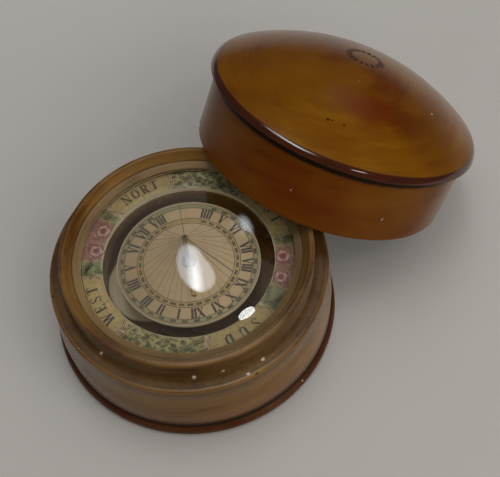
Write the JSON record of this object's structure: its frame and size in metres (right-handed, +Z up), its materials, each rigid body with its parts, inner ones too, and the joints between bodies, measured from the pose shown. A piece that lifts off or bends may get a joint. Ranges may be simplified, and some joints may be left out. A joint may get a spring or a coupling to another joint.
{
  "type": "sundial compass",
  "caption": "Round turned boxwood case with a domed glass over a printed compass ring and a swinging sundial card with gnomon and magnet, and a domed lift-off lid beside it.",
  "frame": {"origin": "centre of the case's flat underside, on the surface it rests on", "axes": "+Z up along the case's turning axis; the picture is taken from the -Y side; +X to the right"},
  "size_m": [0.1126, 0.0988, 0.0482],
  "materials": {
    "case_wood": "aged golden boxwood, turned, waxed to a soft gloss, with dark edges",
    "lid_wood": "amber to reddish boxwood, turned and polished to a gloss",
    "hoop_wood": "dull olive-brown wood",
    "glass": "clear, slightly domed, polished",
    "ring_print": "printed and hand-coloured, aged",
    "dial_print": "printed and hand-coloured, aged",
    "pasteboard": "plain grey-cream board",
    "strap_paper": "plain laid paper",
    "brass": "tarnished brass",
    "steel": "blued and aged steel",
    "agate": "polished agate"
  },
  "bodies": {
    "case": {"case_base": "case_wood", "ring_board": "pasteboard", "compass_ring": "ring_print", "glass_dome": "glass", "glass_hoop": "hoop_wood", "pivot_stud": "brass", "pivot_pin": "steel"},
    "card": {"dial_card": "dial_print", "card_board": "pasteboard", "magnet_needle": "steel", "needle_strap_south": "strap_paper", "needle_strap_north": "strap_paper", "cap": "brass", "cap_jewel": "agate", "gnomon": "brass"},
    "lid": {"lid": "lid_wood"}
  },
  "joints": [
    {"name": "card_spin", "type": "hinge", "parent": "case", "child": "card", "pos_m": [0, 0, 0.0206], "axis": [0, 0, 1], "continuous": true},
    {"name": "lid_lift", "type": "slide", "parent": "case", "child": "lid", "axis": [0, 0, 1], "range_m": [0, 0.05]}
  ]
}
